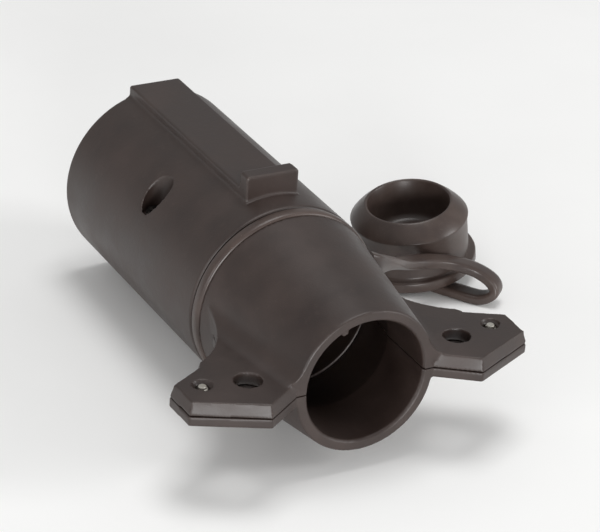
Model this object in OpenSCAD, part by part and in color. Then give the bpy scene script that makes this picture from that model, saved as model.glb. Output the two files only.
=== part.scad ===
/* [Barrel] */
// Outside diameter of the barrel
barrel_d = 46; // [42:0.2:56]
// Thickness of the barrel wall
barrel_wall = 2.4; // [1.8:0.1:3.2]
// Length from the cable opening to the mating rim
overall_len = 109.4; // [104:0.5:134]
// How far the contact block sits back from the mating rim
block_recess = 3; // [1:0.5:6]

/* [Key rib and lid catch] */
// Width of the key rib
key_w = 13.3; // [10:0.1:16]
// Height of the rib's top above the barrel's highest line
key_rise = 1.7; // [1:0.1:2.5]
// Height of the lid catch above the barrel's highest line
catch_rise = 5.5; // [4:0.1:8]
// Length of the lid catch along the barrel
catch_len = 3.5; // [2.5:0.1:6]
// Gap between the tether groove and the lid catch
catch_setback = 6.9; // [2:0.1:10]

/* [Neck] */
// Length of the tapered neck, from the cable opening to the tether groove
neck_len = 37; // [36:0.1:46]
// Outside diameter of the neck at the cable opening
neck_d = 34.2; // [33:0.1:38]
// How much smaller the neck is than the barrel at the tether groove, on the diameter
neck_step = 1.2; // [0.4:0.1:2]
// Diameter of the cable opening
cable_bore_d = 29; // [24:0.2:30]
// Length of the straight part of the cable opening
cable_bore_len = 16; // [8:0.5:22]

/* [Clamp] */
// Length of the loose lower half of the neck
clamp_len = 31; // [24:0.5:34]
// Gap left between the two halves
split_gap = 0.3; // [0.2:0.1:1.5]
// Height of the wings' top above the barrel's axis
wing_top = 2.7; // [2:0.1:5]
// Height of the parting face above the barrel's axis
parting_z = -0.3; // [-1:0.1:0]
// Thickness of the lower wings
lower_wing_t = 2.3; // [1.5:0.1:4]
// Distance from wing tip to wing tip
wing_span = 85.4; // [80:0.2:98]
// How far the wings reach in front of the cable opening
wing_nose = 6.2; // [3:0.1:8]
// How far the upper wings' edges lean in, from the parting face to the top
wing_lean = 0.9; // [0.2:0.1:1.4]
// Distance between the two open holes of the wings
wing_hole_pitch = 52.6; // [48:0.2:58]
// Diameter of the open holes
wing_hole_d = 6.4; // [4:0.1:7]
// Distance between the two clamp screws
screw_pitch = 72.8; // [68:0.2:76]
// Diameter of the clamp screws
clamp_screw_d = 3; // [2.5:0.1:4]

/* [Contacts] */
// Radius of the circle that the outer contacts stand on
contact_circle_r = 12.6; // [11.5:0.1:13]
// Width of a blade contact
blade_w = 6.2; // [5:0.1:7]
// Thickness of the contact strip
strip_t = 0.7; // [0.5:0.05:0.9]
// Clear space between the two leaves of a contact
blade_gap = 1.6; // [1.2:0.1:2]
// Length of the contact block
block_len = 28; // [26:0.5:34]
// Diameter of the terminal screws' shanks
terminal_screw_d = 3; // [2.5:0.1:3.5]

/* [Side well] */
// Diameter of the round well in the barrel's side
well_d = 7; // [6.4:0.1:7.6]
// Distance of the well from the barrel's axis, to the left of the key rib
well_side = 16.8; // [16:0.1:17.2]
// Depth of the well below the barrel's surface
well_depth = 6.7; // [6:0.1:7.5]
// Distance from the well's middle to the contact block behind the barrel's wall
well_to_block = 6.8; // [6.4:0.1:12]

/* [Tether] */
// Width of the tether ring along the neck
ring_w = 3; // [2.4:0.1:4]
// Thickness of the tether ring, from its inside to the barrel's surface
ring_t = 2; // [1.4:0.1:2.6]
// Width of the flat tether strap
strap_w = 5; // [4:0.2:6]
// Thickness of the tether strap
strap_t = 2.5; // [2:0.1:3.2]

/* [Cable plug] */
// Interference of the rubber plug on the cable opening's diameter
plug_squeeze = 0.5; // [0:0.1:1.2]
// Height of the rubber plug
plug_h = 17.2; // [14:0.2:22]
// How far the plug's base flange stands out all round
plug_flange_rim = 1.4; // [1:0.1:3]
// Thickness of the plug's base flange
plug_flange_t = 2.9; // [2:0.1:4]
// Diameter of the plug's mouth
plug_mouth_d = 20.6; // [16:0.2:22]
// Depth of the hollow in the plug
plug_depth = 11; // [8:0.2:13]

/* [Hidden] */
CONTACTS = [1, 2, 3, 4, 5, 6];
TERMINALS = [1, 2, 3, 4, 5, 6, 7];
$fn = 96;

// Small gaps between pieces
play = 0.1;
part_gap = 0.3;
// Overlap that makes a cut run right through
over = 1;

// Radii and stations along the barrel, which runs along +Y from the cable opening
barrel_r = barrel_d / 2;
inner_r = barrel_r - barrel_wall;
neck_r = neck_d / 2;
neck_back_r = barrel_r - neck_step / 2;
bore_r = cable_bore_d / 2;
groove_r = barrel_r - ring_t - play;
ring_clear = 0.3;
groove_w = ring_w + 2 * ring_clear;
barrel_y = neck_len + groove_w;
neck_inner_back_r = groove_r - barrel_wall;
rim_y = overall_len;
rim_round = 0.8;

// Wings: the free corners of one half, seen from above, from the neck round to the hollow
wing_half = wing_span / 2;
wing_corners = [
    [neck_r, 0], [wing_half - 16.4, -wing_nose], [wing_half - 0.2, 1.6], [wing_half, 10.8],
    [wing_half - 9.4, 16]];
wing_hollow_r = 20.8;
wing_hollow_x = wing_half - 0.2;
wing_end_y = 35;
wing_hole_y = 5.9;
screw_y = 7.8;
lower_top_z = parting_z - split_gap;
lower_bottom_z = lower_top_z - lower_wing_t;

// Contact block
block_front_y = rim_y - block_recess;
block_back_y = block_front_y - block_len;
block_r = inner_r - play;
terminal_zone = 11;
hub_y = block_back_y + terminal_zone;
hub_r = block_r - 1.2;
terminal_h = 4.4;
slot_w = blade_w + 0.2;
slot_h = blade_gap + 2 * strip_t;
pocket_h = terminal_h + 0.2;
strip_back = 1.2;
leaf_len = 13;
leaf_y = hub_y + 1.5;
terminal_len = 8;
terminal_screw_reach = 3;
wire_hole_d = 2.4;
terminal_y = block_back_y + terminal_zone / 2;
head_d = 5;
head_h = 1.6;
head_pocket_d = head_d + 0.8;
driver_w = 0.8;
driver_depth = 0.7;
centre_d = 6;
centre_bore_d = 4.2;
centre_flange_d = 8;

// Side well
well_r = well_d / 2;
well_wall = 1.3;
well_floor_z = sqrt(barrel_r * barrel_r - well_side * well_side) - well_depth;
well_y = block_back_y - well_to_block;
well_screw_d = 3;
well_head_d = 5;
well_head_h = 1.6;
well_screw_len = 4.6;
tongue_t = 3.5;
tongue_w = 10.6;
tongue_top_z = well_floor_z - well_wall - 0.2;

// Rubber plug: it leans on its own strap, which tilts it
plug_r = bore_r + plug_squeeze / 2;
plug_body_r = plug_r - 0.3;
plug_flange_r = plug_r + plug_flange_rim;
plug_tilt = asin(strap_t / plug_flange_r);
plug_shoulder_h = plug_h - 3.7;
plug_x = barrel_r + 36.1;
plug_y = neck_len + 41.4;
plug_z = -barrel_r + strap_t;

// Tether strap: the points of its middle line, from the ring to the plug's base, as distances
// from the ring's seat and the table that the barrel lies on
strap_start_x = barrel_r + part_gap;
ring_mid_y = neck_len + groove_w / 2;
table_z = -barrel_r;
strap_low_z = table_z + strap_t / 2 + 0.05;
strap_points = [
    [strap_start_x + 0.9, ring_mid_y + 0.1, 4.4],
    [strap_start_x + 3.3, ring_mid_y + 1.6, 3.1],
    [strap_start_x + 7.1, ring_mid_y + 4.8, 0.9],
    [strap_start_x + 14.3, ring_mid_y + 11.1, table_z + 19.6],
    [strap_start_x + 21.8, ring_mid_y + 18, table_z + 15.1],
    [strap_start_x + 29.2, ring_mid_y + 22, table_z + 12],
    [strap_start_x + 35.7, ring_mid_y + 22.6, table_z + 10.1],
    [strap_start_x + 41.8, ring_mid_y + 20.4, table_z + 8.2],
    [strap_start_x + 45.2, ring_mid_y + 17, table_z + 6],
    [strap_start_x + 45.6, ring_mid_y + 15.6, table_z + 3.4],
    [strap_start_x + 43, ring_mid_y + 17.8, strap_low_z],
    [strap_start_x + 39, ring_mid_y + 23, strap_low_z],
    [strap_start_x + 36, ring_mid_y + 27.8, strap_low_z],
    [strap_start_x + 35.2, ring_mid_y + 32.4, strap_low_z]
];
// Direction of the strap's width at each point: upright at the ring, level along the table
strap_widths = [
    [0, 0, 1], [0.15, -0.3, 1], [0.3, -0.8, 0.8], [0.5, -1, 0.2], [0.4, -1, 0], [0.1, -1, 0],
    [-0.2, -1, 0], [-0.5, -0.9, 0], [-0.7, -0.7, 0], [-0.75, -0.66, 0], [-0.8, -0.6, 0],
    [-0.85, -0.5, 0], [-0.95, -0.4, 0], [-1, -0.2, 0]];
strap_steps = 4;

// A smooth curve through four points, at t from the second to the third
function through(p0, p1, p2, p3, t) =
    0.5 * ((2 * p1) + (p2 - p0) * t + (2 * p0 - 5 * p1 + 4 * p2 - p3) * t * t
    + (3 * p1 - p0 - 3 * p2 + p3) * t * t * t);
function clamped(list, i) = list[max(0, min(len(list) - 1, i))];
function smooth_list(list, steps) = [
    for (i = [0 : len(list) - 2], k = [0 : steps - 1])
        through(clamped(list, i - 1), list[i], list[i + 1], clamped(list, i + 2), k / steps),
    list[len(list) - 1]];
function unit(v) = v / norm(v);

module along_y() {
    rotate([-90, 0, 0]) children();
}

// A solid of revolution about the barrel's axis: points are [radius, y]
module turned(points) {
    rotate([90, 0, 0]) mirror([0, 0, 1]) rotate_extrude() polygon(points);
}

module tube_y(r, y0, y1) {
    translate([0, y0, 0]) along_y() cylinder(r = r, h = y1 - y0);
}

module cone_y(r0, r1, y0, y1) {
    translate([0, y0, 0]) along_y() cylinder(r1 = r0, r2 = r1, h = y1 - y0);
}

module below(z) {
    translate([-wing_span, -wing_span, z - wing_span]) cube([2 * wing_span, 4 * wing_span, wing_span]);
}

module above(z) {
    translate([-wing_span, -wing_span, z]) cube([2 * wing_span, 4 * wing_span, wing_span]);
}

module slab(y0, y1) {
    translate([-wing_span, y0, -wing_span]) cube([2 * wing_span, y1 - y0, 2 * wing_span]);
}

module both_sides() {
    children();
    mirror([1, 0, 0]) children();
}

module half_wing_outline() {
    difference() {
        polygon(concat(
            [[0, 0]], wing_corners, [[neck_back_r - 1, wing_end_y], [0, wing_end_y]]));
        translate([wing_hollow_x, wing_end_y]) circle(r = wing_hollow_r);
    }
}

module wings(z0, z1) {
    both_sides() translate([0, 0, z0]) linear_extrude(z1 - z0) half_wing_outline();
}

// Cuts along one free edge of an upper wing, so that its side leans in towards the top
module lean_cut(from, to) {
    edge = to - from;
    height = wing_top - parting_z;
    translate([from[0], from[1], parting_z]) rotate([0, 0, atan2(edge[1], edge[0])])
        rotate([-atan(wing_lean / height), 0, 0]) translate([-over, -4, -over])
            cube([norm(edge) + 2 * over, 4, 2 * height + over]);
}

module upper_wings() {
    difference() {
        wings(parting_z, wing_top);
        both_sides() for (i = [1 : len(wing_corners) - 1]) lean_cut(wing_corners[i - 1], wing_corners[i]);
    }
}

module wing_holes(z0, z1) {
    both_sides() translate([wing_hole_pitch / 2, wing_hole_y, z0])
        cylinder(d = wing_hole_d, h = z1 - z0);
}

// Neck outside and inside, with the straight cable opening in front
module neck_skin(y1) {
    intersection() {
        cone_y(neck_r, neck_back_r, 0, neck_len);
        slab(-over, y1);
    }
}

module neck_hollow(y1) {
    tube_y(bore_r, -wing_nose - over, cable_bore_len + play);
    intersection() {
        cone_y(bore_r, neck_inner_back_r, cable_bore_len, neck_len);
        slab(0, y1);
    }
}

// Places a piece of the side well, which stands upright like the key rib
module at_well() {
    translate([-well_side, well_y, 0]) children();
}

module side_well_boss() {
    intersection() {
        at_well() translate([0, 0, well_floor_z - well_wall])
            cylinder(r = well_r + well_wall, h = barrel_r);
        tube_y(barrel_r - barrel_wall / 2, block_back_y - block_len, rim_y);
    }
}

module side_well_cuts() {
    at_well() {
        translate([0, 0, well_floor_z]) cylinder(r = well_r, h = barrel_r);
        cylinder(d = well_screw_d + 0.6, h = barrel_r);
    }
}

module key_rib() {
    key_y = barrel_y + catch_setback;
    translate([-key_w / 2, key_y, 0]) {
        cube([key_w, rim_y - key_y, barrel_r + key_rise]);
        cube([key_w, catch_len, barrel_r + catch_rise]);
    }
}

module barrel_skin() {
    turned([
        [0, barrel_y], [barrel_r - 0.4, barrel_y], [barrel_r, barrel_y + 0.4],
        [barrel_r, rim_y - rim_round], [barrel_r - rim_round, rim_y], [0, rim_y]]);
}

module housing() {
    color("#463d3a") difference() {
        union() {
            neck_skin(neck_len);
            tube_y(groove_r, neck_len - play, barrel_y + play);
            barrel_skin();
            intersection() {
                upper_wings();
                slab(-wing_nose - over, wing_end_y);
            }
            key_rib();
        }
        difference() {
            union() {
                neck_hollow(neck_len);
                tube_y(neck_inner_back_r, neck_len - play, barrel_y + play);
                cone_y(neck_inner_back_r, inner_r, barrel_y, barrel_y + 4);
                tube_y(inner_r, barrel_y + 4 - play, rim_y + over);
            }
            side_well_boss();
        }
        // The lower half of the neck is a separate piece
        intersection() {
            below(parting_z);
            slab(-wing_nose - over, clamp_len + split_gap);
        }
        side_well_cuts();
        wing_holes(parting_z - over, wing_top + over);
        both_sides() translate([screw_pitch / 2, screw_y, 0]) {
            translate([0, 0, parting_z - over]) cylinder(d = clamp_screw_d + 0.2, h = wing_top + 3);
            translate([0, 0, wing_top - 0.7]) cylinder(d = clamp_screw_d + 1.6, h = over);
        }
    }
}

module lower_clamp() {
    lift = lower_top_z;
    color("#463d3a") difference() {
        union() {
            translate([0, 0, lift]) intersection() {
                neck_skin(clamp_len);
                below(0);
            }
            intersection() {
                wings(lower_bottom_z, lower_top_z);
                slab(-wing_nose - over, clamp_len);
            }
            both_sides() translate([screw_pitch / 2, screw_y, lower_bottom_z - 1.5])
                cylinder(d = 8, h = 1.6);
        }
        translate([0, 0, lift]) neck_hollow(clamp_len + over);
        wing_holes(lower_bottom_z - over, over);
        both_sides() translate([screw_pitch / 2, screw_y, lower_bottom_z - 1.5 - over])
            cylinder(d = clamp_screw_d + 0.4, h = lower_wing_t + 1.5 + 2 * over);
    }
}

// Self-tapping screw pointing up, with its head's seat at z = 0
module tapping_screw(d, reach, screw_head_d, screw_head_h) {
    translate([0, 0, -screw_head_h]) difference() {
        cylinder(d = screw_head_d, h = screw_head_h);
        translate([0, 0, -over]) for (a = [0, 90]) rotate([0, 0, a])
            translate([-screw_head_d / 3, -0.45, 0])
                cube([screw_head_d * 2 / 3, 0.9, over + screw_head_h / 2]);
    }
    cylinder(d = d, h = reach - d * 0.6);
    translate([0, 0, reach - d * 0.6]) cylinder(d1 = d, d2 = d * 0.35, h = d * 0.6);
}

module clamp_screws() {
    seat_z = lower_bottom_z - 1.5;
    color("silver") both_sides() translate([screw_pitch / 2, screw_y, seat_z])
        tapping_screw(clamp_screw_d, wing_top - 0.2 - seat_z, 5.8, 1.8);
}

// Turns a piece to its place round the block: its +Z points outwards from the axis
module at_contact(i) {
    rotate([0, i * 60 - 30, 0]) children();
}

// Tongue on the back of the contact block, which the screw in the well pulls against the barrel
module block_tongue() {
    intersection() {
        tube_y(block_r, well_y - tongue_w / 2, block_back_y + 2);
        at_well() translate([-tongue_w / 2, -rim_y / 2, tongue_top_z - tongue_t])
            cube([tongue_w, rim_y, tongue_t]);
    }
}

module contact_block() {
    color("#2c2a29") difference() {
        union() {
            tube_y(block_r, hub_y, block_front_y);
            tube_y(hub_r, block_back_y, hub_y + play);
            block_tongue();
        }
        for (i = CONTACTS) at_contact(i) {
            // Slot in the mating face, pocket for the leaves, room for the terminal and its screw
            translate([-slot_w / 2, hub_y, contact_circle_r - slot_h / 2])
                cube([slot_w, block_front_y - hub_y + over, slot_h]);
            translate([-slot_w / 2, block_back_y - over, contact_circle_r - pocket_h / 2])
                cube([slot_w, leaf_y + leaf_len + 0.5 - block_back_y + over, pocket_h]);
            translate([0, terminal_y, contact_circle_r])
                cylinder(d = head_pocket_d, h = block_r);
        }
        tube_y(centre_d / 2 + play, block_back_y - over, block_front_y - 4);
        tube_y(centre_bore_d / 2 + 0.3, block_back_y, block_front_y + over);
        tube_y(centre_flange_d / 2 + play, block_back_y - over, block_back_y + terminal_len);
        at_well() cylinder(d = well_screw_d + 0.1, h = barrel_r);
    }
}

module blade_contact(i) {
    color("#b08d4a") at_contact(i) {
        // Two leaves joined at the back, with the clamp block behind them
        leaf_z = (blade_gap + strip_t) / 2;
        for (z = [-leaf_z, leaf_z])
            translate([-blade_w / 2, leaf_y - play, contact_circle_r + z - strip_t / 2])
                cube([blade_w, leaf_len, strip_t]);
        translate([-blade_w / 2, leaf_y - strip_back, contact_circle_r - blade_gap / 2 - strip_t])
            cube([blade_w, strip_back, blade_gap + 2 * strip_t]);
        difference() {
            translate([-blade_w / 2, leaf_y - strip_back - terminal_len, contact_circle_r - terminal_h / 2])
                cube([blade_w, terminal_len + play, terminal_h]);
            translate([0, leaf_y - strip_back - terminal_len - over, contact_circle_r])
                along_y() cylinder(d = wire_hole_d, h = terminal_len);
            tapped_from = terminal_h / 2 - terminal_screw_reach - 0.2;
            translate([0, terminal_y, contact_circle_r + tapped_from])
                cylinder(d = terminal_screw_d + 0.1, h = terminal_h);
        }
    }
}

// Cheese-head screw pointing down, with its head's seat at z = 0
module terminal_screw(d, reach) {
    difference() {
        cylinder(d = head_d, h = head_h);
        translate([-head_d, -driver_w / 2, head_h - driver_depth]) cube([2 * head_d, driver_w, over]);
    }
    translate([0, 0, -reach]) cylinder(d = d, h = reach + play);
}

module centre_contact() {
    back = block_back_y + terminal_len;
    color("#b08d4a") difference() {
        union() {
            tube_y(centre_flange_d / 2, back - terminal_len + 0.6, back);
            tube_y(centre_d / 2, back - play, block_front_y - 4.5);
        }
        tube_y(centre_bore_d / 2, back + 3, block_front_y);
        tube_y(terminal_screw_d / 2 + 0.05, back - terminal_len, back - 1);
        translate([0, back - 3.5, -centre_flange_d]) cylinder(d = 1.8, h = 2 * centre_flange_d);
    }
}

module outer_terminal_screw(i) {
    seat = contact_circle_r + terminal_h / 2;
    color("#c9c4b8") at_contact(i) translate([0, terminal_y, seat])
        terminal_screw(terminal_screw_d, terminal_screw_reach);
}

module centre_terminal_screw() {
    color("#c9c4b8") translate([0, block_back_y + 0.6, 0]) rotate([90, 0, 0])
        terminal_screw(terminal_screw_d, 3.2);
}

module block_screw() {
    color("#3a3937") at_well() translate([0, 0, well_floor_z]) {
        difference() {
            cylinder(d = well_head_d, h = well_head_h);
            for (a = [0, 90]) rotate([0, 0, a])
                translate([-well_head_d / 3, -0.5, well_head_h - 1]) cube([well_head_d * 2 / 3, 1, 2]);
        }
        translate([0, 0, 0.4 - well_screw_len]) cylinder(d = well_screw_d, h = well_screw_len);
    }
}

module tether_ring() {
    inside_r = groove_r + play;
    round_r = 0.5;
    y0 = neck_len + ring_clear;
    y1 = y0 + ring_w;
    color("#2f2b29") rotate([90, 0, 0]) mirror([0, 0, 1]) rotate_extrude() union() {
        translate([inside_r, y0]) square([barrel_r - inside_r - round_r, ring_w]);
        translate([inside_r, y0 + round_r]) square([barrel_r - inside_r, ring_w - 2 * round_r]);
        for (y = [y0 + round_r, y1 - round_r]) translate([barrel_r - round_r, y])
            circle(r = round_r, $fn = 32);
    }
}

// Corners of the strap's section at one point of its middle line
function strap_section(p, ahead, across) =
    let (
        forward = unit(ahead),
        wide = unit(across - forward * (across * forward)),
        thin = cross(wide, forward),
        w = strap_w / 2,
        t = strap_t / 2,
        c = 0.7,
        corners = [
            [w, t - c], [w - c, t], [c - w, t], [-w, t - c],
            [-w, c - t], [c - w, -t], [w - c, -t], [w, c - t]])
    [for (q = corners) p + wide * q[0] + thin * q[1]];

module tether_strap() {
    line = smooth_list(strap_points, strap_steps);
    widths = smooth_list(strap_widths, strap_steps);
    last = len(line) - 1;
    sections = [for (i = [0 : last])
        strap_section(line[i], line[min(last, i + 1)] - line[max(0, i - 1)], widths[i])];
    sides = 8;
    start_face = [for (k = [0 : sides - 1]) k];
    end_face = [for (k = [sides - 1 : -1 : 0]) last * sides + k];
    side_faces = [
        for (i = [0 : last - 1], k = [0 : sides - 1])
            let (a = i * sides, b = a + sides, next = (k + 1) % sides)
                [a + k, b + k, b + next, a + next]];
    color("#2f2b29") polyhedron(
        points = [for (s = sections, q = s) q],
        faces = concat([start_face], side_faces, [end_face]));
}

module cable_plug() {
    floor_h = plug_h - plug_depth;
    mouth_r = min(plug_mouth_d / 2, plug_r - 4.2);
    lip = 0.5;
    color("#2f2b29") translate([plug_x, plug_y, plug_z]) rotate([0, -plug_tilt, 0]) difference() {
        rotate_extrude() polygon([
            [0, 0], [plug_flange_r - 0.4, 0], [plug_flange_r, 0.4], [plug_flange_r, plug_flange_t - 0.4],
            [plug_flange_r - 0.4, plug_flange_t], [plug_body_r, plug_flange_t],
            [plug_body_r, plug_shoulder_h - 2], [plug_r, plug_shoulder_h],
            [mouth_r + lip + 2.4, plug_h - 1.2], [mouth_r + lip, plug_h],
            [mouth_r, plug_h], [mouth_r - 0.4, floor_h + 1.5], [mouth_r - 1.9, floor_h], [0, floor_h]]);
    }
}

housing();
lower_clamp();
clamp_screws();
contact_block();
block_screw();
centre_contact();
for (i = CONTACTS) blade_contact(i);
for (i = CONTACTS) outer_terminal_screw(i);
centre_terminal_screw();  // terminal_screw_7
tether_ring();
tether_strap();
cable_plug();
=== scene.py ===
"""Trailer wiring plug: a moulded barrel with a two-part cable clamp, and a tethered rubber plug."""

import math

import bmesh
import bpy
from mathutils import Matrix, Vector


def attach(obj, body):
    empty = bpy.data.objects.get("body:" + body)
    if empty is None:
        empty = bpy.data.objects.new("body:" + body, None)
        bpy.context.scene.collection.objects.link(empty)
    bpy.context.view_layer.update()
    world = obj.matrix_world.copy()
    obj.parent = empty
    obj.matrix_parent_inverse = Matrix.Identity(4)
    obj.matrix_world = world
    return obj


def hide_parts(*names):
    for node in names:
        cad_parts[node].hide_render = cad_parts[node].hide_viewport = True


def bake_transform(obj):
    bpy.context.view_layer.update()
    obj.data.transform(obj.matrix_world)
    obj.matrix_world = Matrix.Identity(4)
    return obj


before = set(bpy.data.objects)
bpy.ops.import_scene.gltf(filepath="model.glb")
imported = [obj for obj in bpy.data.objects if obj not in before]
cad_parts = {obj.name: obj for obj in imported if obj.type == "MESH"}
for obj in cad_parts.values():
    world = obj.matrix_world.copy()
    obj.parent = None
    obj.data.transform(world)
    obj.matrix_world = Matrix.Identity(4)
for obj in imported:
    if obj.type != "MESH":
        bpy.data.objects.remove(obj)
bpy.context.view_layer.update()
scene = bpy.context.scene
mm = 0.001


# ---- Camera -------------------------------------------------------------------------------------
# A long lens on a stand, in front of the cable opening and to its left, looking down on the plug.

camera_data = bpy.data.cameras.new("camera")
camera_data.lens = 172.1
camera_data.sensor_width = 36
camera = bpy.data.objects.new("camera", camera_data)
scene.collection.objects.link(camera)
scene.camera = camera
looks_at = Vector((-8.47, 17.95, 21.14)) * mm
distance = 627.4 * mm
azimuth, elevation, roll = map(math.radians, (-30.211, 28.023, 4.195))
towards_camera = Vector((
    math.sin(azimuth) * math.cos(elevation),
    -math.cos(azimuth) * math.cos(elevation),
    math.sin(elevation),
))
aim = (-towards_camera).to_track_quat("-Z", "Y").to_matrix().to_4x4()
camera.matrix_world = (
    Matrix.Translation(looks_at + towards_camera * distance) @ aim @ Matrix.Rotation(roll, 4, "Z")
)
camera_data.clip_start = 0.05
camera_data.clip_end = 20


# ---- Housing ------------------------------------------------------------------------------------
# The body of the plug: one injection moulding in glass-filled nylon, black gone brownish with age.
# The barrel, its key rib and lid catch, the shoulder, the neck and the upper half of both clamp
# wings come out of the mould in one piece, so every edge has a small radius.

# Sizes in millimetres: radii from the barrel's axis, y along it from the cable opening
barrel_r = 23
inner_r = 20.6
rim_y = 109.4
neck_r, neck_back_r = 17.1, 22.4
neck_len = 37.0
groove_r, groove_end_y = 20.9, 40.6
bore_r, bore_len = 14.5, 16
bore_back_r = 18.5
parting_z, wing_top_z = -0.3, 2.7
wing_end_y, wing_lean = 35, 0.9
wing_hollow_x, wing_hollow_r = 42.5, 20.8
key_half_w, key_top_z, catch_top_z = 6.65, 24.7, 28.5
key_y, catch_end_y = 47.5, 51.0
well_place = (-16.8, 71.6)
well_r, well_floor_z, well_wall = 3.5, 9.0, 1.3
block_screw_hole_r = 1.8
wing_hole, wing_hole_r = (26.3, 5.9), 3.2
screw_place = (36.4, 7.8)
screw_hole_r, recess_r, recess_depth = 1.6, 2.3, 0.7
lower_end_y, split_gap = 31.0, 0.3
# Far enough for a cut to run right past the part
past = 60


def add_mesh(name, corners, faces):
    """A mesh object from corners in millimetres, with its faces turned outwards."""
    mesh = bpy.data.meshes.new(name)
    made = bmesh.new()
    points = [made.verts.new([c * mm for c in corner]) for corner in corners]
    for face in faces:
        made.faces.new([points[i] for i in dict.fromkeys(face)])
    bmesh.ops.recalc_face_normals(made, faces=made.faces)
    made.to_mesh(mesh)
    made.free()
    piece = bpy.data.objects.new(name, mesh)
    scene.collection.objects.link(piece)
    return piece


def turned(name, profile, steps=180):
    """A solid turned about the Y axis from (radius, y) points; radius 0 closes it on the axis."""
    corners, rings = [], []
    for radius, y in profile:
        count = steps if radius else 1
        rings.append(range(len(corners), len(corners) + count))
        for k in range(count):
            turn = 2 * math.pi * k / steps
            corners.append((radius * math.cos(turn), y, radius * math.sin(turn)))
    faces = []
    following = rings[1:] + ([] if profile[0][0] == 0 else rings[:1])
    for near, far in zip(rings, following):
        for k in range(steps):
            n = (k + 1) % steps
            faces.append((near[k % len(near)], near[n % len(near)], far[n % len(far)], far[k % len(far)]))
    return add_mesh(name, corners, faces)


def arc(centre, radius, start, end, steps=6):
    """Points of an arc, angles in degrees."""
    turns = [math.radians(start + (end - start) * k / steps) for k in range(steps + 1)]
    return [(centre[0] + radius * math.cos(t), centre[1] + radius * math.sin(t)) for t in turns]


def prism(name, outline, low, high, axis="Z"):
    """An outline pushed straight along an axis: (x, y) along Z, or (x, z) along Y."""
    n = len(outline)
    corners = [(a, b, h) if axis == "Z" else (a, h, b) for h in (low, high) for a, b in outline]
    faces = [tuple(range(n)), tuple(range(n, 2 * n))]
    faces += [(k, (k + 1) % n, n + (k + 1) % n, n + k) for k in range(n)]
    return add_mesh(name, corners, faces)


def settle(piece):
    """Makes the result of a piece's modifiers its own mesh."""
    depsgraph = bpy.context.evaluated_depsgraph_get()
    mesh = bpy.data.meshes.new_from_object(piece.evaluated_get(depsgraph))
    piece.modifiers.clear()
    piece.data = mesh
    return piece


def combine(piece, tool, operation):
    """Joins a tool solid to a piece (UNION), cuts it away (DIFFERENCE) or keeps what they share."""
    cut = piece.modifiers.new(operation, "BOOLEAN")
    cut.operation = operation
    cut.solver = "MANIFOLD"
    cut.object = tool
    settle(piece)
    bpy.data.objects.remove(tool)
    return piece


def place(piece, matrix):
    """Moves a piece's mesh itself, so that the object stays at the frame's origin."""
    piece.data.transform(matrix)
    return piece


def mirrored(make):
    """The same solid on the right and, mirrored, on the left."""
    left = place(make("left"), Matrix.Scale(-1, 4, (1, 0, 0)))
    left.data.flip_normals()
    return [make("right"), left]


def rounded(outline, radii):
    """An outline with each corner replaced by an arc of the given radius (0 keeps it sharp)."""
    points = []
    for k, radius in enumerate(radii):
        corner = Vector(outline[k])
        before = (Vector(outline[k - 1]) - corner).normalized()
        after = (Vector(outline[(k + 1) % len(outline)]) - corner).normalized()
        if radius == 0:
            points.append(tuple(corner))
            continue
        half = before.angle(after) / 2
        reach = radius / math.tan(half)
        centre = corner + (before + after).normalized() * radius / math.sin(half)
        start, end = corner + before * reach - centre, corner + after * reach - centre
        for step in range(6):
            spoke = start.lerp(end, step / 5).normalized() * radius
            points.append(tuple(centre + spoke))
    return points


def wing_outline():
    """The right-hand wing from above, from the axis out: a straight nose and a hollowed back edge."""
    hollow = arc((wing_hollow_x, wing_end_y), wing_hollow_r, 246, 181, 14)
    corners = [(0, 0), (neck_r, 0), (26.3, -6.2), (42.5, 1.6), (42.7, 10.8), (33.4, 15.9)]
    radii = [0, 0, 0.6, 0.5, 0.5, 0]
    return rounded(corners, radii) + hollow + [(0, wing_end_y)]


def upper_wing(side):
    """An upper wing, whose free edges lean in from the parting face to the top."""
    low = wing_outline()
    hollow_starts_y = 16.5
    high = []
    for k, (x, y) in enumerate(low):
        before, after = Vector(low[k - 1]), Vector(low[(k + 1) % len(low)])
        along = (after - before).normalized()
        lean = wing_lean if x > neck_r - 0.1 and y < hollow_starts_y else 0
        high.append((x - along.y * lean, y + along.x * lean))
    n = len(low)
    corners = [(x, y, parting_z) for x, y in low] + [(x, y, wing_top_z) for x, y in high]
    faces = [tuple(range(n)), tuple(range(n, 2 * n))]
    faces += [(k, (k + 1) % n, n + (k + 1) % n, n + k) for k in range(n)]
    return add_mesh("wing_" + side, corners, faces)


def wing_fillet(side, high):
    """The broad concave radius where a wing's flat top runs up into the round neck."""
    corners, faces = [], []
    stations = [3.0 * k for k in range(13)]
    radius, buried = 5.0, 1.2
    for y in stations:
        skin_r = neck_r + (neck_back_r - neck_r) * y / neck_len
        # The arc's centre is one radius above the wing and one radius outside the neck's skin
        z = high + radius
        x = math.sqrt((skin_r + radius) ** 2 - z**2)
        toe = math.degrees(math.atan2(-z, -x))
        deep = skin_r - 1.5
        section = [(deep, high - buried), (x, high - buried)] + arc((x, z), radius, -90, toe, 14)
        section += [(deep * x / (skin_r + radius), deep * z / (skin_r + radius))]
        corners += [(px, y, pz) for px, pz in section]
    n = len(section)
    for s in range(len(stations) - 1):
        for k in range(n):
            near, far, following = s * n, (s + 1) * n, (k + 1) % n
            faces.append((near + k, near + following, far + following, far + k))
    faces += [tuple(range(n)), tuple(range(len(corners) - n, len(corners)))]
    fillet = add_mesh("fillet_" + side, corners, faces)
    return combine(fillet, prism("trim", wing_outline(), 0, 12), "INTERSECT")


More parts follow.
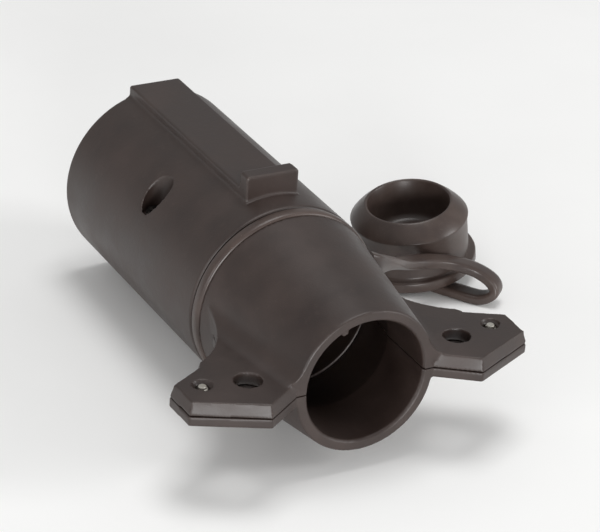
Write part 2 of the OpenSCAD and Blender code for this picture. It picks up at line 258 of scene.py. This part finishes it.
def soften(piece, voxel, passes, triangles):
    """Gives a moulding its small edge radii: an even skin of voxels, relaxed, then thinned out."""
    skin = piece.modifiers.new("skin", "REMESH")
    skin.mode = "VOXEL"
    skin.voxel_size = voxel * mm
    settle(piece)
    sharp = [v.co.copy() for v in piece.data.vertices]
    relax = piece.modifiers.new("relax", "SMOOTH")
    relax.factor = 0.5
    relax.iterations = passes
    settle(piece)
    # Where relaxing pulled the skin inwards there is an outside edge, which hands and dust wear first; its
    # paler colour is partly that wear and partly a painted highlight along the edge.
    # Edges behind the opening's lip, inside the tube, are out of reach and in shade, so they get neither
    # wear nor painted highlight.
    wear_and_highlight_layer = piece.data.attributes.new("edge_wear_and_highlight", "FLOAT", "POINT")
    full_wear_and_highlight, plain_edge_share = 0.10 * mm, 0.25
    inside_r, lip_y, wing_z = 19 * mm, 1.5 * mm, 3 * mm
    wear_and_highlight_values = []
    for before, v in zip(sharp, piece.data.vertices):
        sheltered_and_shaded = v.co.xz.length < inside_r and v.co.y > lip_y and abs(v.co.z) > wing_z
        wear_and_highlight = 0.0 if sheltered_and_shaded else (before - v.co).dot(v.normal) / full_wear_and_highlight - plain_edge_share
        wear_and_highlight_values.append(max(0.0, min(1.0, wear_and_highlight)))
    wear_and_highlight_layer.data.foreach_set("value", wear_and_highlight_values)
    thin = piece.modifiers.new("thin", "DECIMATE")
    thin.ratio = min(1.0, triangles / (2 * len(piece.data.polygons)))
    settle(piece)
    piece.data.polygons.foreach_set("use_smooth", [True] * len(piece.data.polygons))
    return piece


def peg(radius, low, high, x, y):
    """An upright round solid, for bosses and holes."""
    made = turned("peg", [(0, low), (radius, low), (radius, high), (0, high)], 72)
    upright = Matrix.Rotation(math.radians(90), 4, "X")
    return place(made, Matrix.Translation((x * mm, y * mm, 0)) @ upright)


# Outside, turned: neck, tether groove, stepped shoulder, barrel and mating rim
housing = turned("housing_moulding", [
    (0, 0), (neck_r - 0.3, 0), (neck_r, 0.3), (neck_back_r, neck_len), (neck_back_r, neck_len + 0.2),
    (groove_r, neck_len + 0.2), (groove_r, groove_end_y), (barrel_r - 0.4, groove_end_y),
    (barrel_r, groove_end_y + 0.4), (barrel_r, rim_y - 0.8), (barrel_r - 0.25, rim_y - 0.25),
    (barrel_r - 0.8, rim_y), (0, rim_y),
])
for wing in mirrored(upper_wing):
    combine(housing, wing, "UNION")
for fillet in mirrored(lambda side: wing_fillet(side, wing_top_z)):
    combine(housing, fillet, "UNION")

# Key rib along the top, with radii at its foot, and the catch that holds the socket's lid
foot_r, foot_x, foot_z = 0.7, 7.5, 22.55
key_edge_r, key_root_z = 0.35, 19
key_side = [(0, key_root_z), (foot_x, key_root_z), (foot_x, math.sqrt(barrel_r**2 - foot_x**2) - 0.1)]
key_side += arc((key_half_w + foot_r, foot_z), foot_r, 255, 180, 6)
key_side += arc((key_half_w - key_edge_r, key_top_z - key_edge_r), key_edge_r, 0, 90, 4)
key_side += [(0, key_top_z)]
key_section = key_side + [(-x, z) for x, z in reversed(key_side[1:-1])]
combine(housing, prism("key_rib", key_section, key_y, rim_y - 0.05, "Y"), "UNION")
catch_section = [
    (-key_half_w, key_root_z), (key_half_w, key_root_z), (key_half_w, catch_top_z),
    (-key_half_w, catch_top_z),
]
catch = rounded(catch_section, [0, 0, 0.6, 0.6])
combine(housing, prism("catch", catch, key_y, catch_end_y, "Y"), "UNION")

# Inside: the straight cable opening, the cone behind it and the room for the contact block
opening = [(0, -8), (bore_r + 0.5, -8), (bore_r + 0.5, 0.1), (bore_r, 0.6), (bore_r, bore_len)]
combine(housing, turned("hollow", opening + [
    (bore_back_r, neck_len), (bore_back_r, groove_end_y), (inner_r, groove_end_y + 4),
    (inner_r, rim_y - 0.5), (inner_r + 0.5, rim_y + 1), (0, rim_y + 1),
]), "DIFFERENCE")

# The lower half of the neck is cut off along the parting face, with a clean step behind it
step_y = lower_end_y + split_gap
below = [(-past, -past), (past, -past), (past, step_y), (-past, step_y)]
combine(housing, prism("below", below, -past, parting_z), "DIFFERENCE")

# Side well: an upright round hole with a boss round it inside the wall, for the block's screw
boss = peg(well_r + well_wall, well_floor_z - well_wall, 24, *well_place)
mid_wall_r = barrel_r - 1.2
barrel_inside = turned("barrel_inside", [(0, 55), (mid_wall_r, 55), (mid_wall_r, 90), (0, 90)])
combine(housing, combine(boss, barrel_inside, "INTERSECT"), "UNION")
combine(housing, peg(well_r, well_floor_z, 30, *well_place), "DIFFERENCE")
combine(housing, peg(block_screw_hole_r, 2, 12, *well_place), "DIFFERENCE")

# Open holes, and the screws' holes with a shallow recess round each point
for sign in (-1, 1):
    screw_x, screw_y = sign * screw_place[0], screw_place[1]
    combine(housing, peg(wing_hole_r, -8, 8, sign * wing_hole[0], wing_hole[1]), "DIFFERENCE")
    combine(housing, peg(screw_hole_r, -4, 4, screw_x, screw_y), "DIFFERENCE")
    combine(housing, peg(recess_r, wing_top_z - recess_depth, 6, screw_x, screw_y), "DIFFERENCE")

# The gate's stub, left inside the lip of the cable opening
stub_half_w, stub_low_z, stub_high_z = 0.8, bore_r - 0.9, bore_r + 1
stub_section = [
    (-stub_half_w, stub_low_z), (stub_half_w, stub_low_z), (stub_half_w, stub_high_z),
    (-stub_half_w, stub_high_z),
]
stub = prism("stub", stub_section, 0.4, 2, "Y")
combine(housing, place(stub, Matrix.Rotation(math.radians(-25), 4, "Y")), "UNION")

soften(housing, voxel=0.30, passes=3, triangles=190_000)


def linear(hex_colour):
    """An sRGB hex colour as linear red, green, blue and alpha."""
    parts = [int(hex_colour[k:k + 2], 16) / 255 for k in (1, 3, 5)]
    return [c / 12.92 if c <= 0.04045 else ((c + 0.055) / 1.055) ** 2.4 for c in parts] + [1.0]


def node(material, kind, links=None, **settings):
    """Adds a node. Settings name its properties or input sockets; links join sockets to outputs."""
    made = material.node_tree.nodes.new("ShaderNode" + kind)
    for key, value in settings.items():
        if hasattr(made, key):
            setattr(made, key, value)
        else:
            # i3 means the input numbered 3, and any other name is the input's own name
            socket = int(key[1:]) if key[1:].isdigit() else key.replace("_", " ")
            made.inputs[socket].default_value = value
    for socket, output in (links or {}).items():
        material.node_tree.links.new(output, made.inputs[socket])
    return made


def new_material(name):
    """An empty material, ready for its nodes."""
    material = bpy.data.materials.new(name)
    material.use_nodes = True
    material.node_tree.nodes.clear()
    return material


def ramp(material, source, stops):
    """A colour ramp from (position, hex colour) stops."""
    made = node(material, "ValToRGB", {"Fac": source})
    elements = made.color_ramp.elements
    for element, (position, colour) in zip(elements, (stops[0], stops[-1])):
        element.position, element.color = position, linear(colour)
    for position, colour in stops[1:-1]:
        elements.new(position).color = linear(colour)
    return made.outputs["Color"]


def moulded_nylon():
    """Glass-filled nylon 6, moulded in a lightly spark-eroded tool. Semi-matt, near black with a warm
    brown cast: cloudy flow marks about 14 mm wide, a grain of 0.5 mm, dust specks of about 2 mm, and
    paler edges, partly scuffed by handling and partly a painted highlight along them."""
    m = new_material("moulded glass-filled nylon")
    where = node(m, "TexCoord").outputs["Object"]
    clouds = node(m, "TexNoise", {"Vector": where}, Scale=1 / (14 * mm), Detail=4.0, Roughness=0.55)
    grain = node(m, "TexNoise", {"Vector": where}, Scale=1 / (0.5 * mm), Detail=3.0, Roughness=0.6)
    dust = node(m, "TexNoise", {"Vector": where}, Scale=1 / (2.2 * mm), Detail=6.0, Roughness=0.7)
    wear_and_highlight = node(m, "Attribute", attribute_name="edge_wear_and_highlight").outputs["Fac"]
    body = ramp(m, clouds.outputs["Fac"], [(0.30, "#2a201d"), (0.50, "#312622"), (0.72, "#392d29")])
    specks = node(m, "MapRange", {"Value": dust.outputs["Fac"]}, i1=0.58, i2=0.78, i3=0.0, i4=0.25)
    dusty = node(m, "Mix", {"Factor": specks.outputs["Result"], "A": body}, data_type="RGBA")
    dusty.inputs["B"].default_value = linear("#51453f")
    # Paler colour on outside edges, broken up by the dust noise: partly wear, partly a painted highlight.
    scuffed_and_lit = node(m, "Math", {0: wear_and_highlight, 1: dust.outputs["Fac"]}, operation="MULTIPLY")
    edged = node(m, "Mix", {"Factor": scuffed_and_lit.outputs[0], "A": dusty.outputs["Result"]}, data_type="RGBA")
    edged.inputs["B"].default_value = linear("#7d7169")
    rough = node(m, "MapRange", {"Value": clouds.outputs["Fac"]}, i1=0.3, i2=0.7, i3=0.36, i4=0.52)
    bumpy = node(m, "Bump", {"Height": grain.outputs["Fac"]}, Strength=0.35, Distance=0.06 * mm)
    wavy = node(m, "Bump", {"Height": dust.outputs["Fac"], "Normal": bumpy.outputs["Normal"]},
                Strength=0.30, Distance=0.12 * mm)
    shader = node(m, "BsdfPrincipled", {
        "Base Color": edged.outputs["Result"], "Roughness": rough.outputs["Result"],
        "Normal": wavy.outputs["Normal"],
    }, IOR=1.53)
    node(m, "OutputMaterial", {"Surface": shader.outputs[0]})
    return m


nylon = moulded_nylon()
housing.data.materials.clear()
housing.data.materials.append(nylon)
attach(housing, "shell")
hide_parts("housing")


# ---- Lower clamp --------------------------------------------------------------------------------
# The loose lower half of the neck, moulded in the same nylon. Two screws pull it up under the wings
# and it grips the cable's sleeve. It sits a split gap below the parting face.

lower_top_z = parting_z - split_gap
lower_bottom_z = lower_top_z - 2.3
boss_r, boss_bottom_z = 4.0, lower_bottom_z - 1.5
clamp_back_r, clamp_bore_back_r = 21.5, 17.55
free_hole_r = 1.7

clamp = turned("lower_clamp_moulding", [
    (0, 0), (neck_r - 0.3, 0), (neck_r, 0.3), (clamp_back_r, lower_end_y), (0, lower_end_y),
])
above = [(-past, -past), (past, -past), (past, past), (-past, past)]
combine(clamp, prism("above", above, 0, past), "DIFFERENCE")
place(clamp, Matrix.Translation((0, 0, lower_top_z * mm)))
for wing in mirrored(lambda side: prism("wing_" + side, wing_outline(), lower_bottom_z, lower_top_z)):
    combine(clamp, wing, "UNION")
for sign in (-1, 1):
    boss = peg(boss_r, boss_bottom_z, lower_top_z - 0.3, sign * screw_place[0], screw_place[1])
    combine(clamp, boss, "UNION")
hollow = turned("hollow", opening + [(clamp_bore_back_r, lower_end_y + 1), (0, lower_end_y + 1)])
place(hollow, Matrix.Translation((0, 0, lower_top_z * mm)))
combine(clamp, hollow, "DIFFERENCE")
behind = [(-past, lower_end_y), (past, lower_end_y), (past, past), (-past, past)]
combine(clamp, prism("behind", behind, -past, 10), "DIFFERENCE")
for sign in (-1, 1):
    combine(clamp, peg(wing_hole_r, -8, 8, sign * wing_hole[0], wing_hole[1]), "DIFFERENCE")
    combine(clamp, peg(free_hole_r, -8, 8, sign * screw_place[0], screw_place[1]), "DIFFERENCE")
soften(clamp, voxel=0.30, passes=3, triangles=90_000)
clamp.data.materials.clear()
clamp.data.materials.append(nylon)
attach(clamp, "shell")
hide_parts("lower_clamp")


# ---- Clamp screws -------------------------------------------------------------------------------
# Two zinc-plated self-tapping screws, put in from below. They pass freely through the lower half and
# cut their own thread in the upper one, where their points just show in the wings' tops.


def tapping_screw(seat_z, tip_z, head_r, head_h):
    """A pan-head screw pointing up: rounded head with a cross recess, rolled thread, blunt point."""
    shank_r, point_h, point_r = 1.2, 1.2, 0.8
    head = [
        (0, seat_z - head_h), (head_r * 0.62, seat_z - head_h), (head_r * 0.88, seat_z - head_h * 0.7),
        (head_r, seat_z - head_h * 0.25), (head_r, seat_z - 0.05), (head_r - 0.05, seat_z),
    ]
    shank = [(shank_r, seat_z), (shank_r, tip_z - point_h), (0.95, tip_z - 0.15), (point_r, tip_z)]
    made = turned("screw", head + shank + [(0, tip_z)], 48)
    screw = place(made, Matrix.Rotation(math.radians(90), 4, "X"))
    recess_x, recess_y = 1.9, 0.4
    recess = [(-recess_x, -recess_y), (recess_x, -recess_y), (recess_x, recess_y), (-recess_x, recess_y)]
    for turn in (0, 90):
        arm = prism("arm", recess, seat_z - 3, seat_z - head_h * 0.45)
        combine(screw, place(arm, Matrix.Rotation(math.radians(turn), 4, "Z")), "DIFFERENCE")
    # Thread: a triangular ridge wound round the shank, lower towards the point
    pitch, steps, half_ridge = 1.0, 24, 0.3
    core_r, root, ridge = 1.15, 0.15, 0.35
    total = int((tip_z - seat_z - 2 * half_ridge) / pitch * steps)
    corners, faces = [], []
    for k in range(total + 1):
        z = seat_z + half_ridge + pitch * k / steps
        turn = 2 * math.pi * k / steps
        core = core_r - 0.2 * max(0.0, 1 - (tip_z - z) / point_h)
        crest = core + ridge * min(1.0, max(0.3, (tip_z - z) / 0.9))
        for radius, rise in ((core - root, -half_ridge), (crest, 0), (core - root, half_ridge)):
            corners.append((radius * math.cos(turn), radius * math.sin(turn), z + rise))
    for k in range(total):
        for a, b in ((0, 1), (1, 2), (2, 0)):
            faces.append((k * 3 + a, k * 3 + b, k * 3 + 3 + b, k * 3 + 3 + a))
    faces += [(0, 1, 2), (total * 3, total * 3 + 1, total * 3 + 2)]
    return combine(screw, add_mesh("thread", corners, faces), "UNION")


def join(name, parts):
    """Several meshes as one piece."""
    made = bmesh.new()
    for part in parts:
        made.from_mesh(part.data)
        bpy.data.objects.remove(part)
    mesh = bpy.data.meshes.new(name)
    made.to_mesh(mesh)
    made.free()
    piece = bpy.data.objects.new(name, mesh)
    scene.collection.objects.link(piece)
    return piece


screws = []
for sign in (-1, 1):
    screw = tapping_screw(boss_bottom_z, tip_z=wing_top_z - 0.2, head_r=2.9, head_h=1.8)
    seat = Matrix.Translation((sign * screw_place[0] * mm, screw_place[1] * mm, 0))
    spin = Matrix.Rotation(math.radians(20 + 50 * sign), 4, "Z")
    screws.append(place(screw, seat @ spin))
clamp_screws = join("clamp_screw_pair", screws)


def zinc_plate():
    """Bright zinc plate on steel: satin silver, slightly dull where it has whitened."""
    m = new_material("zinc-plated steel")
    where = node(m, "TexCoord").outputs["Object"]
    cloud = node(m, "TexNoise", {"Vector": where}, Scale=1 / (1.5 * mm), Detail=5.0)
    tone = ramp(m, cloud.outputs["Fac"], [(0.3, "#b9b4aa"), (0.7, "#e0ddd5")])
    rough = node(m, "MapRange", {"Value": cloud.outputs["Fac"]}, i1=0.3, i2=0.7, i3=0.42, i4=0.24)
    dents = node(m, "Bump", {"Height": cloud.outputs["Fac"]}, Strength=0.2, Distance=0.05 * mm)
    shader = node(m, "BsdfPrincipled", {
        "Base Color": tone, "Roughness": rough.outputs["Result"], "Normal": dents.outputs["Normal"],
    }, Metallic=1.0)
    node(m, "OutputMaterial", {"Surface": shader.outputs[0]})
    return m


zinc = zinc_plate()
clamp_screws.data.materials.append(zinc)
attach(clamp_screws, "shell")
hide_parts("clamp_screws")


# ---- Contact block and its screw ----------------------------------------------------------------
# A round insert moulded in black phenolic-type plastic, harder and glossier than the housing. One
# blackened screw in the side well holds it by a tongue.


def refinish(name, material):
    """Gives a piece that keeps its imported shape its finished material."""
    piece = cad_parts[name]
    for holder in piece.material_slots:
        holder.link = "OBJECT"
        holder.material = material


def insert_plastic():
    """Thermoset insert: near black, fairly glossy, with faint flow marks and a finely uneven skin."""
    m = new_material("moulded thermoset insert")
    where = node(m, "TexCoord").outputs["Object"]
    cloud = node(m, "TexNoise", {"Vector": where}, Scale=1 / (7 * mm), Detail=5.0)
    fine = node(m, "TexNoise", {"Vector": where}, Scale=1 / (0.6 * mm), Detail=3.0)
    tone = ramp(m, cloud.outputs["Fac"], [(0.3, "#232120"), (0.7, "#302d2b")])
    rough = node(m, "MapRange", {"Value": cloud.outputs["Fac"]}, i1=0.3, i2=0.7, i3=0.30, i4=0.42)
    skin = node(m, "Bump", {"Height": fine.outputs["Fac"]}, Strength=0.25, Distance=0.04 * mm)
    shader = node(m, "BsdfPrincipled", {
        "Base Color": tone, "Roughness": rough.outputs["Result"], "Normal": skin.outputs["Normal"],
    }, IOR=1.6)
    node(m, "OutputMaterial", {"Surface": shader.outputs[0]})
    return m


def black_oxide():
    """Chemically blackened steel: dark with an oily sheen, a little uneven in tone."""
    m = new_material("black oxide steel")
    where = node(m, "TexCoord").outputs["Object"]
    cloud = node(m, "TexNoise", {"Vector": where}, Scale=1 / (1.2 * mm), Detail=5.0)
    tone = ramp(m, cloud.outputs["Fac"], [(0.3, "#2b2a29"), (0.7, "#4a4643")])
    rough = node(m, "MapRange", {"Value": cloud.outputs["Fac"]}, i1=0.3, i2=0.7, i3=0.32, i4=0.5)
    skin = node(m, "Bump", {"Height": cloud.outputs["Fac"]}, Strength=0.2, Distance=0.04 * mm)
    shader = node(m, "BsdfPrincipled", {
        "Base Color": tone, "Roughness": rough.outputs["Result"], "Normal": skin.outputs["Normal"],
    }, Metallic=1.0)
    node(m, "OutputMaterial", {"Surface": shader.outputs[0]})
    return m


refinish("contact_block", insert_plastic())
refinish("block_screw", black_oxide())


# ---- Contacts and terminal screws ---------------------------------------------------------------
# Six blade contacts folded from brass strip, each with a clamp block behind it, and a round contact
# turned from brass rod in the middle. Seven zinc-plated cheese-head screws clamp the wires.


def rolled_brass():
    """Half-hard brass strip: warm satin yellow, browned here and there by handling."""
    m = new_material("rolled brass")
    where = node(m, "TexCoord").outputs["Object"]
    cloud = node(m, "TexNoise", {"Vector": where}, Scale=1 / (2.5 * mm), Detail=5.0)
    stretch = node(m, "Mapping", {"Vector": where}, Scale=(1.0, 0.08, 1.0))
    lines = node(m, "TexNoise", {"Vector": stretch.outputs[0]}, Scale=1 / (0.25 * mm), Detail=2.0)
    tone = ramp(m, cloud.outputs["Fac"], [(0.32, "#8a6a35"), (0.55, "#b6924d"), (0.75, "#caa865")])
    rough = node(m, "MapRange", {"Value": lines.outputs["Fac"]}, i1=0.3, i2=0.7, i3=0.22, i4=0.42)
    skin = node(m, "Bump", {"Height": lines.outputs["Fac"]}, Strength=0.15, Distance=0.03 * mm)
    shader = node(m, "BsdfPrincipled", {
        "Base Color": tone, "Roughness": rough.outputs["Result"], "Normal": skin.outputs["Normal"],
    }, Metallic=1.0)
    node(m, "OutputMaterial", {"Surface": shader.outputs[0]})
    return m


brass = rolled_brass()
refinish("centre_contact", brass)
for number in range(1, 7):
    refinish(f"contact_{number}", brass)
for number in range(1, 8):
    refinish(f"terminal_screw_{number}", zinc)


# ---- Tether and cable plug ----------------------------------------------------------------------
# One moulding in black rubber: a ring in the neck's groove, a flat strap, and a cup that plugs the
# cable opening when no cable is fitted. The cup lies on its own strap, so it leans a little.

ring_y0, ring_y1 = 37.3, 40.3
ring_inner_r = 21.0


def moulded_rubber():
    """Black EPDM from a polished tool: dark and soft-edged, a low sheen with a broad highlight, and a
    faint grey bloom. The skin's 1 mm waviness is what breaks the highlight up."""
    m = new_material("moulded EPDM rubber")
    where = node(m, "TexCoord").outputs["Object"]
    bloom = node(m, "TexNoise", {"Vector": where}, Scale=1 / (9 * mm), Detail=5.0, Roughness=0.6)
    skin = node(m, "TexNoise", {"Vector": where}, Scale=1 / (1.1 * mm), Detail=4.0, Roughness=0.6)
    dust = node(m, "TexNoise", {"Vector": where}, Scale=1 / (0.35 * mm), Detail=2.0)
    tone = ramp(m, bloom.outputs["Fac"], [(0.30, "#3b302d"), (0.52, "#443833"), (0.75, "#50443f")])
    specks = node(m, "MapRange", {"Value": dust.outputs["Fac"]}, i1=0.66, i2=0.78, i3=0.0, i4=0.5)
    dusty = node(m, "Mix", {"Factor": specks.outputs["Result"], "A": tone}, data_type="RGBA")
    dusty.inputs["B"].default_value = linear("#6b625c")
    rough = node(m, "MapRange", {"Value": bloom.outputs["Fac"]}, i1=0.3, i2=0.7, i3=0.30, i4=0.42)
    soft = node(m, "Bump", {"Height": skin.outputs["Fac"]}, Strength=0.15, Distance=0.08 * mm)
    shader = node(m, "BsdfPrincipled", {
        "Base Color": dusty.outputs["Result"], "Roughness": rough.outputs["Result"],
        "Normal": soft.outputs["Normal"],
    }, IOR=1.50)
    node(m, "OutputMaterial", {"Surface": shader.outputs[0]})
    return m


rubber = moulded_rubber()
ring = turned("tether_ring_moulding", [
    (ring_inner_r, ring_y0 + 0.3), (ring_inner_r + 0.3, ring_y0), (22.25, ring_y0), (22.55, ring_y0 + 0.1),
    (22.8, ring_y0 + 0.35), (22.95, ring_y0 + 0.75), (23, ring_y0 + 1.2), (23, ring_y1 - 0.8),
    (22.9, ring_y1 - 0.35), (22.65, ring_y1 - 0.1), (22.3, ring_y1), (ring_inner_r + 0.3, ring_y1),
    (ring_inner_r, ring_y1 - 0.3),
])
ring.data.polygons.foreach_set("use_smooth", [True] * len(ring.data.polygons))
ring.data.materials.append(rubber)
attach(ring, "ring")
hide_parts("tether_ring")

# The strap's middle line, from inside the ring's edge, round its loop and under the cup's base
strap_line = [
    (21.9, 38.8, 4.9), (24.2, 38.9, 4.4), (26.6, 40.4, 3.1), (30.4, 43.6, 0.9), (37.6, 49.9, -3.4),
    (45.1, 56.8, -7.9), (52.5, 60.8, -11.0), (59.0, 61.4, -12.9), (65.1, 59.2, -14.8), (68.5, 55.8, -17.0),
    (68.9, 54.4, -19.6), (66.3, 56.6, -21.7), (62.3, 61.8, -21.7), (59.3, 66.6, -21.7), (58.5, 71.2, -21.7),
]
# Which way its width points: upright at the ring, level where it lies on the table
strap_width = [
    (0, 0, 1), (0, 0, 1), (0.15, -0.3, 1), (0.3, -0.8, 0.8), (0.5, -1, 0.2), (0.4, -1, 0), (0.1, -1, 0),
    (-0.2, -1, 0), (-0.5, -0.9, 0), (-0.7, -0.7, 0), (-0.75, -0.66, 0), (-0.8, -0.6, 0), (-0.85, -0.5, 0),
    (-0.95, -0.4, 0), (-1, -0.2, 0),
]
strap_w, strap_t = 5.0, 2.5


def through(values, steps):
    """A smooth curve through the values, the same one that the strap's solid follows."""
    made = []
    for k in range(len(values) - 1):
        a, b, c, d = (Vector(values[min(max(j, 0), len(values) - 1)]) for j in range(k - 1, k + 3))
        for s in range(steps):
            t = s / steps
            made.append(0.5 * (2 * b + (c - a) * t + (2 * a - 5 * b + 4 * c - d) * t**2
                               + (3 * b - a - 3 * c + d) * t**3))
    return made + [Vector(values[-1])]


def strap_mesh():
    """The strap: a flat section with well-rounded edges, carried along its middle line."""
    line = through(strap_line, 10)
    widths = through(strap_width, 10)
    around = 24
    corners, faces = [], []
    for k, point in enumerate(line):
        forward = (line[min(k + 1, len(line) - 1)] - line[max(k - 1, 0)]).normalized()
        wide = (widths[k] - forward * widths[k].dot(forward)).normalized()
        thin = wide.cross(forward)
        # A wider root where it runs into the ring, gone after about 20 stations
        root = math.exp(-(k / 9) ** 2)
        w, t = strap_w / 2 * (1 + 0.35 * root), strap_t / 2 * (1 + 0.10 * root)
        for s in range(around):
            a = 2 * math.pi * s / around
            # The section is a superellipse of power 5
            reach = (abs(math.cos(a)) ** 5 + abs(math.sin(a)) ** 5) ** -0.2
            corners.append(point + wide * w * reach * math.cos(a) + thin * t * reach * math.sin(a))
    rows = len(line)
    for k in range(rows - 1):
        for s in range(around):
            n = (s + 1) % around
            faces.append((k * around + s, k * around + n, (k + 1) * around + n, (k + 1) * around + s))
    faces += [tuple(range(around)), tuple(range((rows - 1) * around, rows * around))]
    return add_mesh("tether_strap_moulding", corners, faces)


strap = strap_mesh()
strap.data.polygons.foreach_set("use_smooth", [True] * len(strap.data.polygons))
strap.data.materials.append(rubber)
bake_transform(strap)
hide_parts("tether_strap")

# The cup: base flange, straight wall, a shoulder that slopes in to a thin lip, and a hollow
cup_base = Vector((59.1, 78.4, -20.5)) * mm
flange_r = 16.15
cup_lean = math.asin(strap_t / flange_r)
cup_profile = [
    (0, 0), (15.5, 0), (15.95, 0.12), (flange_r, 0.5), (flange_r, 2.4), (15.98, 2.78), (15.6, 2.9),
    (14.9, 2.95), (14.55, 3.2), (14.45, 3.6), (14.45, 11.0), (14.55, 12.2), (14.72, 13.0), (14.75, 13.3),
    (14.6, 13.55), (13.9, 14.4), (12.9, 15.45), (11.7, 16.5), (11.1, 17.0), (10.85, 17.17), (10.55, 17.15),
    (10.3, 16.85), (10.1, 12.0), (9.9, 8.0), (9.5, 7.0), (8.6, 6.35), (7.0, 6.2), (0, 6.2),
]
cup = turned("cable_plug_moulding", cup_profile, 160)
stand = Matrix.Rotation(math.radians(90), 4, "X")
place(cup, Matrix.Translation(cup_base) @ Matrix.Rotation(-cup_lean, 4, "Y") @ stand)
cup.data.polygons.foreach_set("use_smooth", [True] * len(cup.data.polygons))
cup.data.materials.append(rubber)
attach(cup, "plug")
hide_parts("cable_plug")


# ---- Floor and lights ---------------------------------------------------------------------------
# A plain pale table and soft studio light: a low panel in front, weaker ones on the left and right, one
# overhead and a dim white room.

table_z = -barrel_r * mm
half_table = 3.0
table_top = bpy.data.meshes.new("table_top")
table_corners = [(x * half_table, y * half_table, table_z) for x, y in ((-1, -1), (1, -1), (1, 1), (-1, 1))]
table_top.from_pydata(table_corners, [], [(0, 1, 2, 3)])
table = bpy.data.objects.new("table", table_top)
scene.collection.objects.link(table)


def matt_table():
    """Smooth matt board, a very pale warm grey with barely visible mottling."""
    m = new_material("matt board")
    where = node(m, "TexCoord").outputs["Object"]
    cloud = node(m, "TexNoise", {"Vector": where}, Scale=1 / (60 * mm), Detail=3.0)
    tone = ramp(m, cloud.outputs["Fac"], [(0.3, "#f6f6f5"), (0.7, "#f9f9f8")])
    shader = node(m, "BsdfPrincipled", {"Base Color": tone}, Roughness=0.75)
    node(m, "OutputMaterial", {"Surface": shader.outputs[0]})
    return m


table_top.materials.append(matt_table())


def soft_panel(name, position, size, watts):
    """A square area light that faces the plug."""
    data = bpy.data.lights.new(name, "AREA")
    data.size = size
    data.energy = watts
    lamp = bpy.data.objects.new(name, data)
    lamp.location = position
    lamp.rotation_euler = (Vector((0, 0.05, 0)) - Vector(position)).to_track_quat("-Z", "Y").to_euler()
    scene.collection.objects.link(lamp)


soft_panel("front", (-0.40, -1.05, 0.14), 0.30, 8)
soft_panel("left", (-1.0, -0.2, 0.30), 0.40, 2)
soft_panel("right", (0.85, -0.55, 0.45), 0.35, 4)
soft_panel("overhead", (0.1, 0.10, 1.1), 0.5, 4.5)
world = bpy.data.worlds.new("studio")
world.use_nodes = True
world.node_tree.nodes["Background"].inputs["Color"].default_value = (1, 1, 1, 1)
world.node_tree.nodes["Background"].inputs["Strength"].default_value = 0.43
scene.world = world
scene.view_settings.view_transform = "Standard"
